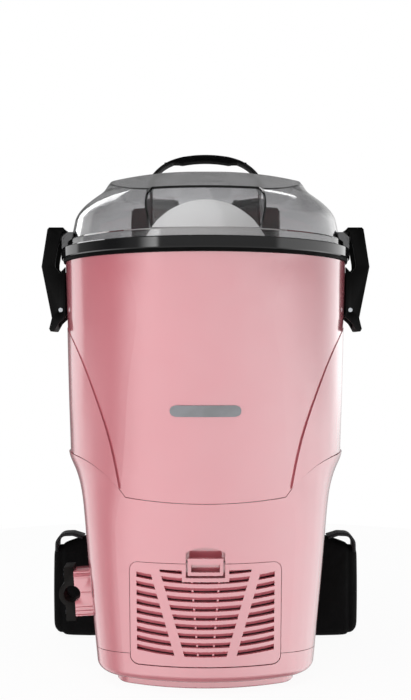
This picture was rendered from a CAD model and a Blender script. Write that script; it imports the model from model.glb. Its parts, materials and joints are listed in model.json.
# %% [markdown]
# # A backpack vacuum cleaner, dressed for its portrait
# The engineering model arrives as a fixed frame: every node is where the real piece is, in metres. This lesson
# gives each surface its real finish, and makes again in full detail the soft and moulded pieces that the
# engineering model holds as plain solids.

# %% Load the frame
import json
import math
import bmesh
import bpy
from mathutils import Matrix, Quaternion, Vector, noise


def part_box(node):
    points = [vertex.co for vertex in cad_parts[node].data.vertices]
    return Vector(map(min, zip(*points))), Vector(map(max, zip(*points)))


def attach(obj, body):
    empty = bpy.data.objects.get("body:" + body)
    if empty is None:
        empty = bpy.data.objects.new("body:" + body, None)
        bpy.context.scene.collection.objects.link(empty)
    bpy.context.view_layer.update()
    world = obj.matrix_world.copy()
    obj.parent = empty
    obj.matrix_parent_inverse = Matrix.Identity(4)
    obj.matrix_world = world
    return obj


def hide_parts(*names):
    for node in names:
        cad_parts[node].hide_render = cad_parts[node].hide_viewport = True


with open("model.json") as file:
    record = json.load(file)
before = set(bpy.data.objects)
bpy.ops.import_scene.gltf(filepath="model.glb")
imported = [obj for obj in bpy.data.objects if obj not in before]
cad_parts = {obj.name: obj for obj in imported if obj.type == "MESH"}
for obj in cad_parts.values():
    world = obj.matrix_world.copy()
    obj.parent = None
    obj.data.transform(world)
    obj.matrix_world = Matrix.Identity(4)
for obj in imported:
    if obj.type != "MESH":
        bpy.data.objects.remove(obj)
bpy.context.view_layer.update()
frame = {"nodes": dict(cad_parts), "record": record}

nodes = frame["nodes"]
MM = 0.001
SIDES = ((-1, "left"), (1, "right"))

# %% [markdown]
# ## Camera
# The photograph looks straight at the front from about 0.93 m, level, at three fifths of the machine's height.
# A 50 mm lens on a 36 mm frame gives its perspective, seen in how the lid's flat crown runs away from us.

# %% Set the camera
lens = bpy.data.cameras.new("portrait_lens")
lens.lens = 50
lens.sensor_width = 36
camera = bpy.data.objects.new("portrait_camera", lens)
bpy.context.scene.collection.objects.link(camera)
camera.location = (0, -0.932, 0.304)
camera.rotation_euler = (math.radians(90), 0, 0)
bpy.context.scene.camera = camera
bpy.context.scene.view_settings.view_transform = "Standard"
print("camera at", tuple(camera.location))

# %% [markdown]
# ## Colours and nodes
# Colours are written as the hex values that an eye or a paint chart gives, and one function turns them into the
# linear light values that the renderer adds up. One more function adds a node, so a material reads as a recipe.
# A noise rarely reaches its ends, so two ranges say where its values really lie.

# %% Helpers for materials
NOISE_MIDDLE = (0.35, 0.65)
NOISE_MOST = (0.3, 0.7)


def linear(hex_colour):
    """sRGB hex to linear light, with full alpha."""
    values = [int(hex_colour[start:start + 2], 16) / 255 for start in (0, 2, 4)]
    return tuple(v / 12.92 if v <= 0.04045 else ((v + 0.055) / 1.055) ** 2.4 for v in values) + (1.0,)


def add_node(tree, kind, settings=None, links=None):
    """A node with its settings and inputs; a key is an input's name or number, or else a property."""
    node = tree.nodes.new(kind)
    for key, value in (settings or {}).items():
        if isinstance(key, str) and hasattr(node, key):
            setattr(node, key, value)
        else:
            node.inputs[key].default_value = value
    for key, socket in (links or {}).items():
        tree.links.new(socket, node.inputs[key])
    return node


def new_material(name, **shader):
    """A material whose plain values sit on the shader's own sockets."""
    material = bpy.data.materials.new(name)
    material.use_nodes = True
    tree = material.node_tree
    surface = tree.nodes["Principled BSDF"]
    for key, value in shader.items():
        surface.inputs[key.replace("_", " ")].default_value = value
    return material, tree, surface


def feed(tree, surface, **patterns):
    """Links each pattern to the shader's socket of that name."""
    for key, pattern in patterns.items():
        tree.links.new(pattern, surface.inputs[key.replace("_", " ")])


def object_place(tree):
    return add_node(tree, "ShaderNodeTexCoord").outputs["Object"]


def grain(tree, place, size, detail=2.0, stretch=None):
    """Noise whose cells are about size across, in metres; stretch scales the place first."""
    if stretch:
        place = add_node(tree, "ShaderNodeMapping", {"Scale": stretch}, {"Vector": place}).outputs[0]
    settings = {"Scale": 1 / size, "Detail": detail}
    return add_node(tree, "ShaderNodeTexNoise", settings, {"Vector": place}).outputs["Fac"]


def between(tree, factor, low, high, low_at=0.0, high_at=1.0):
    """Maps a factor from its own range to a range of values."""
    settings = {1: low_at, 2: high_at, 3: low, 4: high}
    return add_node(tree, "ShaderNodeMapRange", settings, {0: factor}).outputs[0]


def two_colours(tree, factor, first, second):
    settings = {"data_type": "RGBA", 6: linear(first), 7: linear(second)}
    return add_node(tree, "ShaderNodeMix", settings, {0: factor}).outputs[2]


def relief(tree, surface, height, depth, strength=1.0, after=None):
    """Bump of a real depth in metres, on top of an earlier bump if there is one."""
    links = {"Height": height}
    if after:
        links["Normal"] = after
    bump = add_node(tree, "ShaderNodeBump", {"Strength": strength, "Distance": depth}, links).outputs[0]
    tree.links.new(bump, surface.inputs["Normal"])
    return bump


# %% [markdown]
# ## Gloss ABS, pink
# The tank and casing are injection moulded in ABS against a polished steel mould. Such a skin mirrors a lamp
# sharply, but sinks a little where the walls shrink, so reflections waver by a few hundredths of a millimetre.

# %% Pink gloss ABS
def pink_gloss_abs():
    cloud, rubbed, sink_mark, skin_pit = 0.12, 0.02, 0.045, 0.0012
    material, tree, surface = new_material("gloss_abs_pink", IOR=1.54, Coat_Weight=1.0, Coat_Roughness=0.1)
    place = object_place(tree)
    shade = between(tree, grain(tree, place, cloud), 0.0, 1.0, *NOISE_MIDDLE)
    feed(tree, surface, Base_Color=two_colours(tree, shade, "C66F79", "C26B75"))
    feed(tree, surface, Roughness=between(tree, grain(tree, place, rubbed, 4.0), 0.2, 0.26, *NOISE_MOST))
    waver = relief(tree, surface, grain(tree, place, sink_mark, 1.0), depth=0.0004, strength=0.25)
    relief(tree, surface, grain(tree, place, skin_pit, 2.0), depth=0.00001, strength=0.25, after=waver)
    return material


pink = pink_gloss_abs()
print(pink.name)

# %% [markdown]
# ## Black ABS, gloss and satin
# The lid's ring is polished like the tank. The latches, clamp and frame come from a spark-eroded mould, whose
# fine pits of about 0.3 mm spread the light; they are drawn at 0.7 mm, or they wouldn't show. The same recipe,
# with other colours and pits, gives every other moulded plastic and rubber here.

# %% Black ABS
def black_gloss_abs():
    cloud, rubbed, sink_mark = 0.03, 0.01, 0.03
    material, tree, surface = new_material("gloss_abs_black", IOR=1.54)
    place = object_place(tree)
    feed(tree, surface, Base_Color=two_colours(tree, grain(tree, place, cloud), "0C0C0D", "101011"))
    feed(tree, surface, Roughness=between(tree, grain(tree, place, rubbed, 4.0), 0.05, 0.09, *NOISE_MOST))
    relief(tree, surface, grain(tree, place, sink_mark, 1.0), depth=0.0002, strength=0.15)
    return material


def eroded_moulding(name, dark, light, smooth, rough, pit=0.0007, depth=0.00004, shine=0.5):
    cloud, rubbed = 0.02, 0.006
    material, tree, surface = new_material(name, IOR=1.54, Specular_IOR_Level=shine)
    place = object_place(tree)
    shade = between(tree, grain(tree, place, cloud, 3.0), 0.0, 1.0, *NOISE_MIDDLE)
    feed(tree, surface, Base_Color=two_colours(tree, shade, dark, light))
    feed(tree, surface, Roughness=between(tree, grain(tree, place, rubbed, 4.0), smooth, rough, *NOISE_MOST))
    relief(tree, surface, grain(tree, place, pit, 3.0), depth, strength=0.6)
    return material


ring_black = black_gloss_abs()
satin_black = eroded_moulding("eroded_abs_black", "030303", "060606", 0.33, 0.45, shine=0.05)
clamp_black = eroded_moulding("eroded_abs_brown_black", "100F0E", "161413", 0.42, 0.55, shine=0.06)
deck_grey = eroded_moulding("eroded_abs_grey", "3A3B3E", "44454A", 0.4, 0.55)
print(ring_black.name, satin_black.name, clamp_black.name, deck_grey.name)

# %% [markdown]
# ## Smoked polycarbonate
# The lid is a clear polycarbonate shell about 3 mm thick, tinted grey in the melt. Polycarbonate bends light
# more than window glass does (1.585), which draws the dark lines along its edges. Handling leaves a faint haze.

# %% Smoked polycarbonate
def smoked_polycarbonate():
    cloud, haze_patch, flow_wave = 0.08, 0.015, 0.03
    material, tree, surface = new_material("smoked_polycarbonate", IOR=1.585, Transmission_Weight=1.0)
    place = object_place(tree)
    feed(tree, surface, Base_Color=two_colours(tree, grain(tree, place, cloud), "F6F6F7", "F2F2F4"))
    smoke = add_node(tree, "ShaderNodeVolumeAbsorption", {"Color": linear("3A3A3B"), "Density": 128.0})
    tree.links.new(smoke.outputs[0], tree.nodes["Material Output"].inputs["Volume"])
    haze = grain(tree, place, haze_patch, 5.0)
    feed(tree, surface, Roughness=between(tree, haze, 0.015, 0.05, 0.4, 0.75))
    relief(tree, surface, grain(tree, place, flow_wave, 1.0), depth=0.0002, strength=0.2)
    return material


smoked = smoked_polycarbonate()
print(smoked.name)

# %% [markdown]
# ## Rubber, steel, and the parts inside
# The seal is moulded EPDM rubber. Pins are zinc-plated steel and screws are blackened, the motor's can is
# pressed aluminium with fine drawing marks, and its core is a stack of iron sheets half a millimetre thick.

# %% Rubber and metals
def drawn_metal(name, first, second, smooth, rough, stretch, spacing=0.0006):
    material, tree, surface = new_material(name, Metallic=1.0)
    place = object_place(tree)
    lines = grain(tree, place, spacing, 2.0, stretch)
    feed(tree, surface, Base_Color=two_colours(tree, lines, first, second))
    feed(tree, surface, Roughness=between(tree, lines, smooth, rough))
    relief(tree, surface, lines, depth=0.00001, strength=0.5)
    return material


rubber = eroded_moulding("moulded_epdm", "060606", "0A0A0A", 0.6, 0.8, pit=0.0006, shine=0.05)
zinc = drawn_metal("zinc_plated_steel", "A9ADB2", "BFC3C6", 0.25, 0.42, (1, 1, 1), 0.0012)
can_metal = drawn_metal("pressed_aluminium", "B4B6B8", "CACCCD", 0.28, 0.45, (0.1, 0.1, 1))
black_oxide = drawn_metal("black_oxide_steel", "1A1A1C", "242427", 0.35, 0.5, (1, 1, 1), 0.0012)
core_iron = drawn_metal("laminated_iron", "3B3937", "6A6662", 0.35, 0.6, (0.02, 0.02, 1), 0.0005)
print(rubber.name, zinc.name, can_metal.name, black_oxide.name, core_iron.name)

# %% [markdown]
# ## Board, foam and rocker
# A circuit board is green lacquer over copper tracks, the exhaust filter is an open foam of about 1.5 mm cells,
# and the switch's rocker is polished red nylon.

# %% Board, foam and rocker
def lacquered_board():
    tracks_per_metre = 180
    material, tree, surface = new_material("lacquered_board", Roughness=0.35)
    settings = {"Rotation": (math.radians(90), 0, 0), "Scale": (tracks_per_metre,) * 3}
    turned = add_node(tree, "ShaderNodeMapping", settings, {"Vector": object_place(tree)}).outputs[0]
    settings = {
        "Scale": 1.0, "Mortar Size": 0.06,
        "Color1": linear("124A2A"), "Color2": linear("0F4025"), "Mortar": linear("2C7A4A"),
    }
    tracks = add_node(tree, "ShaderNodeTexBrick", settings, {"Vector": turned})
    feed(tree, surface, Base_Color=tracks.outputs["Color"])
    relief(tree, surface, tracks.outputs["Fac"], depth=0.00005, strength=0.4)
    return material


def open_foam():
    cell = 0.0015
    material, tree, surface = new_material("open_cell_foam", Roughness=0.95)
    place = object_place(tree)
    cells = add_node(tree, "ShaderNodeTexVoronoi", {"Scale": 1 / cell}, {"Vector": place}).outputs["Distance"]
    feed(tree, surface, Base_Color=two_colours(tree, cells, "060606", "262627"))
    relief(tree, surface, cells, depth=0.0008, strength=0.8)
    return material


board_green = lacquered_board()
foam = open_foam()
rocker_red = eroded_moulding("polished_nylon_red", "A31414", "AC1818", 0.12, 0.2, pit=0.002, depth=0.00001)
print(board_green.name, foam.name, rocker_red.name)

# %% [markdown]
# ## Cloth: filter fleece, woven nylon and webbing
# The bag is white fleece, pressed fibres with no thread lines. The pads wear a plain-woven nylon whose threads
# are about 0.5 mm apart, drawn at 1.2 mm. Webbing is woven far thicker, with ribs across its width that follow
# the strap round its bends, so its pattern is read from the strap's own UV map, laid out in metres.

# %% Cloth
WAVE_REPEAT = 0.314


def filter_fleece():
    tuft = 0.0022
    material, tree, surface = new_material(
        "filter_fleece", Roughness=0.95, Sheen_Weight=0.2, Sheen_Roughness=0.6
    )
    fibres = grain(tree, object_place(tree), tuft, 6.0)
    feed(tree, surface, Base_Color=two_colours(tree, fibres, "F1F1F0", "FBFBFA"))
    relief(tree, surface, fibres, depth=0.0004, strength=0.5)
    return material


def threads(tree, place, spacing, direction):
    """Bands that far apart, in metres: a wave of scale 1 repeats every WAVE_REPEAT."""
    settings = {
        "bands_direction": direction, "Scale": WAVE_REPEAT / spacing,
        "Distortion": 0.4, "Detail": 1.0, "Detail Scale": 2.0,
    }
    return add_node(tree, "ShaderNodeTexWave", settings, {"Vector": place}).outputs["Fac"]


def woven_nylon():
    thread, worn_patch = 0.0012, 0.02
    material, tree, surface = new_material(
        "woven_nylon_black", Roughness=0.8, Specular_IOR_Level=0.05, Sheen_Weight=0.015, Sheen_Roughness=0.5
    )
    place = object_place(tree)
    warp = threads(tree, place, thread, "X")
    weft = threads(tree, place, thread, "Z")
    weave = add_node(tree, "ShaderNodeMath", {"operation": "MULTIPLY"}, {0: warp, 1: weft}).outputs[0]
    worn = between(tree, grain(tree, place, worn_patch, 4.0), 0.0, 0.5, 0.4, 0.8)
    both = add_node(tree, "ShaderNodeMath", {"operation": "ADD"}, {0: weave, 1: worn}).outputs[0]
    feed(tree, surface, Base_Color=two_colours(tree, both, "030303", "0D0D0E"))
    relief(tree, surface, weave, depth=0.0003, strength=0.5)
    return material


def ribbed_webbing(name, dark, light):
    rib, yarn, yarn_share = 0.0021, 0.0031, 0.35
    material, tree, surface = new_material(
        name, Roughness=0.62, Specular_IOR_Level=0.2, Sheen_Weight=0.04, Sheen_Roughness=0.4
    )
    place = add_node(tree, "ShaderNodeUVMap", {"uv_map": "strap"}).outputs[0]
    ribs = threads(tree, place, rib, "X")
    yarns = threads(tree, place, yarn, "Y")
    settings = {"operation": "MULTIPLY_ADD", 1: yarn_share}
    weave = add_node(tree, "ShaderNodeMath", settings, {0: yarns, 2: ribs}).outputs[0]
    shade = between(tree, weave, 0.0, 1.0, 0.2, 1.3)
    feed(tree, surface, Base_Color=two_colours(tree, shade, dark, light))
    relief(tree, surface, weave, depth=0.0004, strength=0.6)
    return material


fleece = filter_fleece()
nylon = woven_nylon()
webbing = ribbed_webbing("polyester_webbing_black", "0E0F10", "2A2C2E")
handle_webbing = ribbed_webbing("polyester_webbing_handle", "050505", "0D0D0E")
print(fleece.name, nylon.name, webbing.name, handle_webbing.name)

# %% [markdown]
# ## Dress the frame
# Most moulded pieces keep their engineering shape, and only need their finish. The renderer would let no lamp
# shine through the bent walls of the lid, so the lid casts no shadow, and the bag under it is lit as it
# should be.

# %% Finishes by slot
finishes = {
    "pink_plastic": pink, "black_gloss": ring_black, "black_plastic": satin_black, "clear_plastic": smoked,
    "seal_rubber": rubber, "steel": zinc, "bag_fabric": fleece, "grey_plastic": deck_grey,
    "motor_metal": can_metal, "motor_iron": core_iron, "board": board_green, "filter_foam": foam,
    "switch_red": rocker_red, "pad_fabric": nylon, "webbing": webbing,
}
slot_of = {part["node"]: part["material_slot"] for part in frame["record"]["subparts"]}
for name, node in nodes.items():
    node.data.materials.clear()
    node.data.materials.append(finishes[slot_of[name]])
    if "screw" in name:
        node.data.materials[0] = black_oxide
nodes["lid_dome"].visible_shadow = False
nodes["lid_dome"].visible_diffuse = False
print("dressed", len(slot_of), "nodes")

# %% [markdown]
# ## Pieces of our own
# Each new piece is built in a bmesh, then linked as an object at the origin with its place in its mesh. It
# rides on the body that carries it, and names the slot that its finish belongs to.

# %% Helpers for pieces
HARD_EDGE = math.radians(30)
SHADED_EDGE = math.radians(35)
FLAT_ENOUGH = math.radians(1.0)
SPLIT_CORNERS = 0.00001


def finish_piece(name, mesh, body, material, replaced=()):
    piece = bpy.data.objects.new(name, mesh)
    bpy.context.scene.collection.objects.link(piece)
    mesh.materials.clear()
    mesh.materials.append(material)
    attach(piece, body)
    if replaced:
        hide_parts(*replaced)
    return piece


def mesh_from(name, bm, smooth=True):
    mesh = bpy.data.meshes.new(name)
    bm.to_mesh(mesh)
    bm.free()
    for face in mesh.polygons:
        face.use_smooth = smooth
    return mesh


def new_points(grown):
    """The points among what an extrusion made."""
    return [item for item in grown["geom"] if isinstance(item, bmesh.types.BMVert)]


def merged_copy(node):
    """The node's own mesh with its split corners joined, as a new bmesh."""
    bm = bmesh.new()
    bm.from_mesh(nodes[node].data)
    bmesh.ops.remove_doubles(bm, verts=bm.verts, dist=SPLIT_CORNERS)
    return bm


def eased_copy(node, body, material, edge, extra=None):
    """The node again with its hard edges rounded, as a mould leaves them; extra adds forms first."""
    bm = merged_copy(node)
    if extra:
        extra(bm)
    bmesh.ops.dissolve_limit(bm, angle_limit=FLAT_ENOUGH, verts=bm.verts, edges=bm.edges)
    hard = [side for side in bm.edges if side.is_manifold and side.calc_face_angle(0) > HARD_EDGE]
    bmesh.ops.bevel(
        bm, geom=hard, offset=edge, segments=2, profile=0.5, affect="EDGES", clamp_overlap=True, material=-1
    )
    bmesh.ops.triangulate(bm, faces=[face for face in bm.faces if len(face.verts) > 4])
    mesh = mesh_from(node + "_moulded", bm)
    mesh.set_sharp_from_angle(angle=SHADED_EDGE)
    return finish_piece(node + "_moulded", mesh, body, material, [node])


# %% [markdown]
# ## Latches, clamp and harness hardware
# A moulded edge is never knife sharp: it has a radius of about half a millimetre, and that thin rounded line is
# what catches the light. The pieces that show it best are made again with their edges bevelled. The cord
# bracket also gets the cheek that stands just behind its front, with six thin ribs across it.

# %% Ease the mouldings
def ribbed_cheek(bm):
    """A cheek with its half of the cord's hole cut out, and ribs, leaning with the casing's side."""
    lean = Quaternion((0, 1, 0), math.radians(-3.3))
    pivot = Vector((-124.7, 5, 71.7))
    outer, inner, low, high = -124.5, -103.5, 50.6, 92.8
    cheek_front, cheek_back, rib_front, rib_back = -6.3, 2.9, -7.2, -6.0
    hole_across, hole_height, hole_radius, facets = -127.0, 71.7, 8.0, 8
    beside_hole, half_rib = -118.6, 0.6
    ribs = ((92.2, outer), (87.7, outer), (72.4, beside_hole), (58.6, outer), (55.0, outer), (51.2, outer))

    def slab(outline, front, back):
        place = [(lean @ (Vector((x, front, z)) - pivot) + pivot) * MM for x, z in outline]
        face = bm.faces.new([bm.verts.new(point) for point in place])
        grown = bmesh.ops.extrude_face_region(bm, geom=[face])
        bmesh.ops.translate(bm, verts=new_points(grown), vec=(0, (back - front) * MM, 0))

    widest = math.acos((outer - hole_across) / hole_radius)
    turns = [widest * step / facets for step in range(facets, -facets - 1, -1)]
    arc = [(hole_across + hole_radius * math.cos(t), hole_height + hole_radius * math.sin(t)) for t in turns]
    slab([(outer, low), (inner, low), (inner, high), (outer, high)] + arc, cheek_front, cheek_back)
    for middle, start in ribs:
        bottom, top = middle - half_rib, middle + half_rib
        slab([(start, bottom), (inner, bottom), (inner, top), (start, top)], rib_front, rib_back)
    bmesh.ops.recalc_face_normals(bm, faces=bm.faces)


for _, word in SIDES:
    eased_copy("latch_" + word, "latch_" + word, satin_black, edge=0.0008)
    eased_copy("ladder_lock_" + word, "casing", satin_black, edge=0.0007)
eased_copy("cord_clamp", "casing", clamp_black, edge=0.0006)
eased_copy("cord_bracket", "casing", pink, edge=0.0003, extra=ribbed_cheek)
eased_copy("belt_buckle_socket", "casing", satin_black, edge=0.0015)
eased_copy("belt_buckle_plug", "casing", satin_black, edge=0.0015)
eased_copy("harness_frame", "casing", satin_black, edge=0.0012)
print("mouldings eased")

# %% [markdown]
# ## Blank badge
# A thin grey pill is set on the front of the tank. It is a plate of brushed plastic with round ends, half a
# millimetre proud, and it follows the slope and the curve of the wall behind it.

# %% Badge
def badge_pill():
    half, end, middle = 0.0255, 0.0049, 0.2524
    rim_height, rim_front, slope, curve = 0.3852, -0.1325, 0.1457, 0.143
    sunk, thick = 0.0001, 0.0006
    bm = bmesh.new()
    bmesh.ops.create_grid(bm, x_segments=48, y_segments=8, size=1.0)
    for vert in bm.verts:
        reach = vert.co.y
        across = vert.co.x * (half + end * math.sqrt(max(0.0, 1 - reach * reach)))
        height = middle + reach * end
        depth = rim_front + slope * (rim_height - height)
        depth += curve - math.sqrt(curve * curve - across * across)
        vert.co = (across, depth - sunk, height)
    bmesh.ops.recalc_face_normals(bm, faces=bm.faces)
    if sum(face.normal.y for face in bm.faces) > 0:
        bmesh.ops.reverse_faces(bm, faces=bm.faces)
    skin = bmesh.ops.extrude_face_region(bm, geom=bm.faces[:])
    bmesh.ops.translate(bm, verts=new_points(skin), vec=(0, -thick, 0))
    bmesh.ops.recalc_face_normals(bm, faces=bm.faces)
    mesh = mesh_from("badge_pill", bm)
    mesh.set_sharp_from_angle(angle=SHADED_EDGE)
    return mesh


badge_grey = eroded_moulding("brushed_badge_grey", "66686B", "74767A", 0.3, 0.4, pit=0.0008, depth=0.00001)
badge = finish_piece("badge_pill", badge_pill(), "casing", badge_grey)
print("badge", len(badge.data.polygons), "faces")

# %% [markdown]
# ## Straps
# A strap is one flat section carried along a path with rounded corners. Starting from the section's ring, the
# ring is extruded and moved step by step, so the faces follow the strap and its UV map can be laid out in
# metres: along the strap in U, across it in V.

# %% Helpers for straps
def rounded_path(corners, radii, step=0.004):
    """Points along straight runs joined by arcs that touch them; corners and radii are in millimetres."""
    corners = [Vector(corner) * MM for corner in corners]
    points = [corners[0]]
    for before, corner, after, radius in zip(corners, corners[1:], corners[2:], radii):
        into = (before - corner).normalized()
        out = (after - corner).normalized()
        half = into.angle(out) / 2
        radius = radius * MM
        reach = radius / math.tan(half)
        centre = corner + (into + out).normalized() * radius / math.sin(half)
        start = corner + into * reach - centre
        end = corner + out * reach - centre
        turn = start.angle(end)
        axis = start.cross(end)
        count = max(3, int(turn * radius / step))
        points += [centre + Quaternion(axis, turn * index / count) @ start for index in range(count + 1)]
    points.append(corners[-1])
    even = [points[0]]
    for a, b in zip(points, points[1:]):
        count = max(1, int((b - a).length / (step * 1.5)))
        even += [a.lerp(b, (index + 1) / count) for index in range(count)]
    return even


def webbing_section(width, thickness):
    """Flat strap with rounded selvedges: points across and out."""
    half, edge = width / 2, thickness / 2
    inner = half - edge
    ends = []
    for index in range(5):
        angle = math.radians(-90 + 45 * index)
        ends.append((inner + edge * math.cos(angle), edge * math.sin(angle)))
    return ends + [(-across, -out) for across, out in ends]


def point_ahead(vert, fresh):
    """The new point that the extrusion grew from this one."""
    return next(edge.other_vert(vert) for edge in vert.link_edges if edge.other_vert(vert) in fresh)


def swept(name, section, path, across):
    """Carries the section along the path; across is the strap's width direction."""
    across = Vector(across).normalized()
    bm = bmesh.new()
    along_layer = bm.verts.layers.float.new("along")
    across_layer = bm.verts.layers.float.new("across")
    ring = [bm.verts.new((0, 0, 0)) for point in section]
    edges = [bm.edges.new((a, b)) for a, b in zip(ring, ring[1:] + ring[:1])]
    bm.faces.new(ring)
    travelled = 0.0
    for index, point in enumerate(path):
        if index:
            fresh = set(new_points(bmesh.ops.extrude_edge_only(bm, edges=edges)))
            ring = [point_ahead(old, fresh) for old in ring]
            edges = [bm.edges.get((a, b)) for a, b in zip(ring, ring[1:] + ring[:1])]
            travelled += (point - path[index - 1]).length
        ahead = path[min(index + 1, len(path) - 1)]
        behind = path[max(index - 1, 0)]
        out = (ahead - behind).normalized().cross(across)
        for vert, (wide, thick) in zip(ring, section):
            vert.co = point + across * wide + out * thick
            vert[along_layer] = travelled
            vert[across_layer] = wide
    bm.faces.new(ring)
    bmesh.ops.recalc_face_normals(bm, faces=bm.faces)
    uv = bm.loops.layers.uv.new("strap")
    for face in bm.faces:
        for loop in face.loops:
            loop[uv].uv = (loop.vert[along_layer], loop.vert[across_layer])
    return mesh_from(name, bm)


# %% [markdown]
# ## Webbing of the harness
# Each strap repeats the route that the engineering model holds: loops on the hip pads, waist strap, lower
# shoulder webbing and the legs of the carry handle. Routes and bends are in millimetres, and a route that has
# a twin is the right one's. A row of the list gives the new piece, the node that it stands for, the strap's
# width and thickness in metres, its route and bends, how long its steps are, and the direction of its width.

# %% Weave the webbing
def mirror_path(corners, side):
    return [(side * x, y, z) for x, y, z in corners]


loop_route = [
    (129.5, 104.6, 105.6), (140.5, 104.6, 109), (152, 104.6, 108.6), (157.2, 104.6, 101), (157.4, 104.6, 91),
]
belt_route = [(110, 116.2, 58), (140, 117.7, 58), (150, 161.2, 58), (96, 214, 58), (28, 214, 58)]
lower_route = [(58, 145.65, 136.85), (58, 126.3, 120.5), (58, 94.6, 120.5)]
handle_route = [
    (-61, 131, 440), (-61, 131, 489), (-42.5, 131, 507.5), (0, 131, 517),
    (42.5, 131, 507.5), (61, 131, 489), (61, 131, 440),
]
handle_bends = [26, 46, 140, 46, 26]
straps = (
    ("side_loop_woven_", "side_loop_", (0.020, 0.0034), loop_route, [6, 8, 7], 0.002, (0, 1, 0)),
    ("belt_woven_", "belt_webbing_", (0.038, 0.0026), belt_route, [14, 34, 40], 0.004, (0, 0, 1)),
    ("lower_woven_", "lower_webbing_", (0.025, 0.0026), lower_route, [14], 0.003, (1, 0, 0)),
)
for side, word in SIDES:
    for piece, node, size, route, bends, step, across in straps:
        path = rounded_path(mirror_path(route, side), bends, step)
        strap = swept(piece + word, webbing_section(*size), path, across)
        finish_piece(piece + word, strap, "casing", webbing, [node + word])
handle_path = rounded_path(handle_route, handle_bends, 0.003)
legs = swept("handle_woven", webbing_section(0.021, 0.0034), handle_path, (0, 1, 0))
finish_piece("handle_woven", legs, "casing", handle_webbing, ["carry_handle_webbing"])
print("webbing woven")

# %% [markdown]
# ## Shoulder straps and handle sleeve
# A padded strap is a flat foam core in a sewn cover: crowned in the middle, pinched at the seam beside each
# edge, with a bound edge outside the seam. That is all in its section, so it is drawn once and swept.

# %% Sew the padded straps
def padded_section(width, thickness, binding=0.005, pinch=0.55, steps=14):
    """Crowned on both faces, pinched at the seams, round at the bound edges."""
    bound_share, flat_share = 0.62, 0.25
    seam = width / 2 - binding
    bulge = thickness / 2 * bound_share
    face = []
    for index in range(steps + 1):
        across = -seam + 2 * seam * index / steps
        crown = pinch + (1 - pinch) * math.sqrt(max(0.0, 1 - (across / seam) ** 4))
        face.append((across, thickness / 2 * crown))
    for index in range(1, 6):
        angle = math.radians(90 - 30 * index)
        across = seam + binding * flat_share + binding * (1 - flat_share) * math.cos(angle)
        face.append((across, bulge * math.sin(angle)))
    return face + [(-across, -out) for across, out in face]


def sleeve_over_arch():
    """Padding wrapped round the arch: full in the middle, thinned to nothing towards each side."""
    reach, full_to, taper = 0.042, 0.025, 0.01
    under, under_lost, over, over_lost = 0.74, 0.5, 0.34, 0.1
    arch = rounded_path(handle_route, handle_bends, 0.001)
    path = [point for point in arch if abs(point.x) < reach]
    mesh = swept("handle_sleeve_sewn", padded_section(0.026, 0.0134, 0.003, 0.8), path, (0, 1, 0))
    for vert in mesh.vertices:
        line = min(path, key=lambda point: abs(point.x - vert.co.x)).z
        end = min(1.0, max(0.0, (abs(vert.co.x) - full_to) / taper))
        share = under - under_lost * end if vert.co.z < line else over - over_lost * end
        vert.co.z = line + (vert.co.z - line) * share
    return mesh


strap_route = [
    (58, 146.8, 420), (58, 146.8, 474), (58, 208.8, 474), (58, 222.8, 370), (58, 198.8, 190), (58, 158.8, 150),
]
strap_bends = [24, 28, 70, 60]
for side, word in SIDES:
    path = rounded_path(mirror_path(strap_route, side), strap_bends)
    pad = swept("shoulder_strap_sewn_" + word, padded_section(0.054, 0.010), path, (1, 0, 0))
    finish_piece("shoulder_strap_sewn_" + word, pad, "casing", nylon, ["shoulder_strap_" + word])
finish_piece("handle_sleeve_sewn", sleeve_over_arch(), "casing", nylon, ["carry_handle_sleeve"])
print("padded straps sewn")

# %% [markdown]
# ## Back pad and hip wings
# These are foam in a woven cover. Cloth under a little inner pressure swells them as the foam does, with the
# faces crowned and the edges pulled in. The start is the engineering solid again with an even skin, and no
# point may move further than a few millimetres from it. Sewn channels are pressed in afterwards.

# %% Helpers for pads
def swollen(node, name, voxel, shrink, cap, pressure=4.0, frames=20):
    """The node's form blown up as cloth; a negative shrink starts a little larger than the node."""
    start = bpy.data.objects.new(name, mesh_from(name, merged_copy(node)))
    bpy.context.scene.collection.objects.link(start)
    remesh = start.modifiers.new("even_skin", "REMESH")
    remesh.mode = "VOXEL"
    remesh.voxel_size = voxel
    graph = bpy.context.evaluated_depsgraph_get()
    skin = bpy.data.meshes.new_from_object(start.evaluated_get(graph))
    start.modifiers.clear()
    bm = bmesh.new()
    bm.from_mesh(skin)
    bm.normal_update()
    for vert in bm.verts:
        vert.co -= vert.normal * shrink
    for turn in range(3):
        bmesh.ops.smooth_vert(bm, verts=bm.verts, factor=0.5, use_axis_x=True, use_axis_y=True, use_axis_z=True)
    bm.to_mesh(skin)
    bm.free()
    start.data = skin
    rest = [vert.co.copy() for vert in skin.vertices]
    cloth = start.modifiers.new("cover", "CLOTH")
    cloth.settings.use_pressure = True
    cloth.settings.uniform_pressure_force = pressure
    cloth.settings.effector_weights.gravity = 0
    cloth.settings.quality = 6
    scene = bpy.context.scene
    for number in range(1, frames + 1):
        scene.frame_set(number)
    graph = bpy.context.evaluated_depsgraph_get()
    blown = bpy.data.meshes.new_from_object(start.evaluated_get(graph))
    start.modifiers.clear()
    for vert, home in zip(blown.vertices, rest):
        move = vert.co - home
        if move.length > cap:
            vert.co = home + move.normalized() * cap
    scene.frame_set(1)
    start.data = blown
    return start, blown


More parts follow.
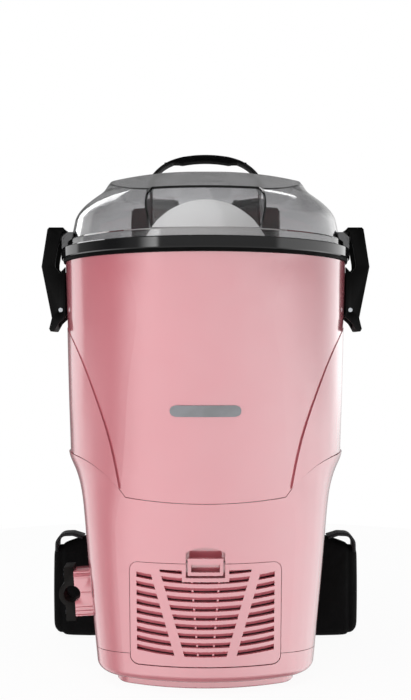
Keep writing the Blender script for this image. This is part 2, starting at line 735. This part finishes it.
def press_lines(mesh, lines, depth, width):
    """Sewn channels: every point near a line is pressed in along its own normal."""
    bm = bmesh.new()
    bm.from_mesh(mesh)
    bmesh.ops.subdivide_edges(bm, edges=bm.edges[:], cuts=1, use_grid_fill=True, smooth=0.0)
    bm.normal_update()
    moves = []
    for vert in bm.verts:
        near = min(abs(line(vert.co)) for line in lines)
        moves.append(-vert.normal * depth * math.exp(-((near / width) ** 2)))
    for vert, move in zip(bm.verts, moves):
        vert.co += move
    bm.to_mesh(mesh)
    bm.free()


def finish_pad(start, mesh, body, node):
    name = start.name
    bpy.data.objects.remove(start)
    for face in mesh.polygons:
        face.use_smooth = True
    pad = finish_piece(name, mesh, body, nylon, [node])
    print(name, len(mesh.polygons), "faces")


# %% Inflate the pads
wing_seam = 0.152
pad_low, pad_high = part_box("back_pad")
start, skin = swollen("back_pad", "back_pad_quilted", voxel=0.005, shrink=0.0022, cap=0.006)
heights = [pad_low[2] + (pad_high[2] - pad_low[2]) * share for share in (0.26, 0.5, 0.74)]
seams = [lambda co, z=z: co.z - z for z in heights]
press_lines(skin, seams, depth=0.0035, width=0.004)
finish_pad(start, skin, "casing", "back_pad")
for side, word in SIDES:
    name = "belt_wing_sewn_" + word
    start, skin = swollen("belt_wing_" + word, name, voxel=0.003, shrink=-0.0006, cap=0.0012, pressure=2.0)
    press_lines(skin, [lambda co, side=side: side * co.x - wing_seam], depth=0.0012, width=0.0022)
    finish_pad(start, skin, "casing", "belt_wing_" + word)

# %% [markdown]
# ## Dust bag
# The bag is a fleece sack with a domed top. Its profile is spun round the upright axis, then soft folds run
# down it, fading towards the dome, and the mouth is drawn in where the stiff collar meets the hose port.

# %% Fill the bag
def fleece_bag():
    """The profile is in millimetres, as radius and height; what moves its points is in metres."""
    sack = [
        (0.001, 218.4), (66, 218.4), (84, 226), (91, 243), (91.4, 300),
        (90, 345), (87, 357), (79, 368), (68, 380), (64.6, 389),
    ]
    dome_width, dome_rise, dome_base, summit = 64.8, 64.6, 382, (0.001, 446.8)
    folds_end, folds_fade, fold_depth, folds, creases, twist = 400, 60, 0.0018, 11, 23, 0.02
    sag_depth, lumps_per_metre, pole = 0.0009, 28, 0.03
    mouth_height, mouth_radius, mouth_from, collar_face = 0.431, 0.0235, 0.030, 0.0352
    angles = [math.radians(degrees) for degrees in range(12, 90, 6)]
    dome = [(dome_width * math.cos(a), dome_base + dome_rise * math.sin(a)) for a in angles]
    bm = bmesh.new()
    verts = [bm.verts.new(Vector((radius, 0, height)) * MM) for radius, height in sack + dome + [summit]]
    edges = [bm.edges.new(pair) for pair in zip(verts, verts[1:])]
    bmesh.ops.spin(
        bm, geom=verts + edges, cent=(0, 0, 0), axis=(0, 0, 1), dvec=(0, 0, 0),
        angle=math.radians(360), steps=96, use_merge=True,
    )
    bmesh.ops.remove_doubles(bm, verts=bm.verts, dist=0.00005)
    bmesh.ops.recalc_face_normals(bm, faces=bm.faces)
    for vert in bm.verts:
        radius = math.hypot(vert.co.x, vert.co.y)
        turn = math.atan2(vert.co.y, vert.co.x)
        height = vert.co.z / MM
        soft = max(0.0, min(1.0, (folds_end - height) / folds_fade)) * min(1.0, radius / pole)
        wave = math.sin(turn * folds + height * twist) + 0.5 * math.sin(turn * creases + 1.3)
        fold = fold_depth * soft * wave
        sag = sag_depth * noise.noise(vert.co * lumps_per_metre)
        pull = 1 - (abs(fold) + abs(sag) + fold) / max(radius, 0.02)
        vert.co.x *= min(1.0, pull)
        vert.co.y *= min(1.0, pull)
        away = math.hypot(vert.co.x, vert.co.z - mouth_height)
        if away < mouth_radius and vert.co.y > mouth_from:
            vert.co.y = min(vert.co.y, collar_face)
    return mesh_from("dust_bag_fleece", bm)


bag = finish_piece("dust_bag_fleece", fleece_bag(), "casing", fleece, ["dust_bag"])
print("bag", len(bag.data.polygons), "faces")

# %% [markdown]
# ## Floor
# The floor is white paper that only just shows the machine's shadow: to the camera it mostly glows by itself,
# so that it meets the white background without an edge.

# %% Lay the floor
GLOW_SHARE = 0.94


def studio_white():
    material = bpy.data.materials.new("studio_white")
    material.use_nodes = True
    tree = material.node_tree
    tree.nodes.clear()
    paper = add_node(tree, "ShaderNodeBsdfDiffuse", {"Color": linear("F2F2F2")}).outputs[0]
    glow = add_node(tree, "ShaderNodeEmission", {"Color": linear("FFFFFF"), "Strength": 1.0}).outputs[0]
    seen = add_node(tree, "ShaderNodeLightPath").outputs["Is Camera Ray"]
    share = add_node(tree, "ShaderNodeMath", {"operation": "MULTIPLY", 1: GLOW_SHARE}, {0: seen}).outputs[0]
    mixed = add_node(tree, "ShaderNodeMixShader", None, {0: share, 1: paper, 2: glow}).outputs[0]
    add_node(tree, "ShaderNodeOutputMaterial", None, {"Surface": mixed})
    return material


bm = bmesh.new()
bmesh.ops.create_circle(bm, cap_ends=True, segments=96, radius=0.8)
floor_mesh = mesh_from("studio_floor", bm, False)
floor_mesh.materials.append(studio_white())
floor = bpy.data.objects.new("studio_floor", floor_mesh)
bpy.context.scene.collection.objects.link(floor)
floor.visible_glossy = False
print("floor laid")

# %% [markdown]
# ## Sky
# The background is the same white, and an even sky gives the plain light. Gloss is a mirror, so what it sees is
# set apart: a bright table below the horizon, a darker room above it with tall softboxes at a few compass
# directions, and less light overhead and underfoot, all with soft edges. The table and the room are lists of
# compass points, in degrees from the front towards the right, each with its brightness. How steeply a mirrored
# ray climbs, from -1 straight down to 1 straight up, gives the soft edges between them.

# %% Light the sky
BRIGHTEST = 6.0
CEILING = 0.25
UNDERFOOT = 0.6
EVEN_LIGHT = 0.55
HORIZON = (-0.16, -0.04)
OVERHEAD = (0.2, 0.45)
DOWNWARD = (-0.85, -0.62)
TABLE = [
    (-180, 0.25), (-150, 0.2), (-134, 1.5), (-112, 1.6), (-97, 1.1), (-80, 0.9), (-45, 3.7), (0, 3.7),
    (66, 4.6), (88, 4.0), (108, 3.1), (128, 2.1), (145, 1.1), (160, 0.5), (180, 0.25),
]
ROOM = [
    (-180, 0.25), (-151, 0.15), (-144, 1.3), (-121, 1.5), (-115, 0.3), (-75, 0.1), (-54, 0.35), (-38, 5.2),
    (-35, 0.5), (54, 0.5), (60, 1.75), (105, 1.7), (128, 2.1), (140, 2.3), (152, 1.7), (165, 0.8), (180, 0.25),
]


def lit(level):
    """A brightness as the grey that the sky's strength turns back into it."""
    return (level / BRIGHTEST,) * 3 + (1.0,)


def compass_light(tree, azimuth, stops, name):
    """Brightness round the machine, eased from stop to stop."""
    ramp = add_node(tree, "ShaderNodeValToRGB", {"label": name}, {"Fac": azimuth})
    ramp.color_ramp.interpolation = "EASE"
    marks = ramp.color_ramp.elements
    while len(marks) < len(stops):
        marks.new(1.0)
    for mark, (degrees, level) in zip(marks, stops):
        mark.position = (degrees + 180) / 360
        mark.color = lit(level)
    return ramp.outputs["Color"]


def gloss_sky(tree):
    """What gloss sees: the table below the horizon, the room above it, and less light up and down."""
    ray = add_node(tree, "ShaderNodeTexCoord").outputs["Generated"]
    split = add_node(tree, "ShaderNodeSeparateXYZ", None, {0: ray}).outputs
    ahead = add_node(tree, "ShaderNodeMath", {"operation": "MULTIPLY", 1: -1.0}, {0: split["Y"]}).outputs[0]
    turn = add_node(tree, "ShaderNodeMath", {"operation": "ARCTAN2"}, {0: split["X"], 1: ahead}).outputs[0]
    azimuth = between(tree, turn, 0.0, 1.0, -math.pi, math.pi)
    table = compass_light(tree, azimuth, TABLE, "table")
    room = compass_light(tree, azimuth, ROOM, "room")
    above = between(tree, split["Z"], 0.0, 1.0, *HORIZON)
    level = add_node(tree, "ShaderNodeMix", {"data_type": "RGBA"}, {0: above, 6: table, 7: room}).outputs[2]
    high = between(tree, split["Z"], 0.0, 1.0, *OVERHEAD)
    settings = {"data_type": "RGBA", 7: lit(CEILING)}
    faded = add_node(tree, "ShaderNodeMix", settings, {0: high, 6: level}).outputs[2]
    deep = between(tree, split["Z"], 1.0, 0.0, *DOWNWARD)
    settings = {"data_type": "RGBA", 7: lit(UNDERFOOT)}
    shaded = add_node(tree, "ShaderNodeMix", settings, {0: deep, 6: faded}).outputs[2]
    return add_node(tree, "ShaderNodeBackground", {"Strength": BRIGHTEST}, {"Color": shaded}).outputs[0]


world = bpy.data.worlds.new("studio_sky")
bpy.context.scene.world = world
world.use_nodes = True
sky = world.node_tree
sky.nodes.clear()
seen = add_node(sky, "ShaderNodeLightPath").outputs
by_camera, by_gloss, through = seen["Is Camera Ray"], seen["Is Glossy Ray"], seen["Is Transmission Ray"]
white = add_node(sky, "ShaderNodeMath", {"operation": "MAXIMUM"}, {0: by_camera, 1: through}).outputs[0]
even_sky = add_node(sky, "ShaderNodeBackground", {"Color": linear("FFFFFF"), "Strength": EVEN_LIGHT}).outputs[0]
white_sky = add_node(sky, "ShaderNodeBackground", {"Color": linear("FFFFFF"), "Strength": 1.0}).outputs[0]
plain = add_node(sky, "ShaderNodeMixShader", None, {0: white, 1: even_sky, 2: white_sky}).outputs[0]
settings = {"operation": "SUBTRACT", "use_clamp": True}
mirrored = add_node(sky, "ShaderNodeMath", settings, {0: by_gloss, 1: through}).outputs[0]
mixed = add_node(sky, "ShaderNodeMixShader", None, {0: mirrored, 1: plain, 2: gloss_sky(sky)}).outputs[0]
add_node(sky, "ShaderNodeOutputWorld", None, {"Surface": mixed})
print("sky lit")

# %% [markdown]
# ## Lamps
# Four softboxes add a little modelling to the even light. Gloss already sees the sky's own softboxes, so these
# are hidden from it, and only light the matt side of each surface. Two more stand behind the machine and are
# the other way round: gloss sees them, as bright streaks in the lid, and they give no matt light.

# %% Softboxes
def softbox(name, place, aim, width, height, power):
    light = bpy.data.lights.new(name, "AREA")
    light.shape = "RECTANGLE"
    light.size = width
    light.size_y = height
    light.energy = power
    lamp = bpy.data.objects.new(name, light)
    bpy.context.scene.collection.objects.link(lamp)
    lamp.location = place
    lamp.rotation_euler = (Vector(aim) - Vector(place)).to_track_quat("-Z", "Y").to_euler()
    lamp.visible_glossy = False
    return lamp


softbox("softbox_left", (-1.8, -1.0, 0.35), (0, 0, 0.25), width=0.8, height=1.6, power=13)
softbox("softbox_front", (0.5, -2.3, 0.1), (0, 0, 0.25), width=1.5, height=1.5, power=1)
softbox("softbox_right", (2.0, -0.6, 0.3), (0, 0, 0.25), width=1.0, height=1.6, power=0.5)
softbox("softbox_top", (-0.3, -0.7, 2.0), (0, 0, 0.3), width=1.4, height=1.4, power=14)
for shine in (
    softbox("shine_left", (-1.1, 1.3, 1.25), (0, 0, 0.44), width=0.5, height=1.3, power=6),
    softbox("shine_right", (0.8, 1.0, 1.9), (0, 0, 0.44), width=0.16, height=0.5, power=1),
):
    shine.visible_glossy = True
    shine.visible_diffuse = False
print("lamps lit")
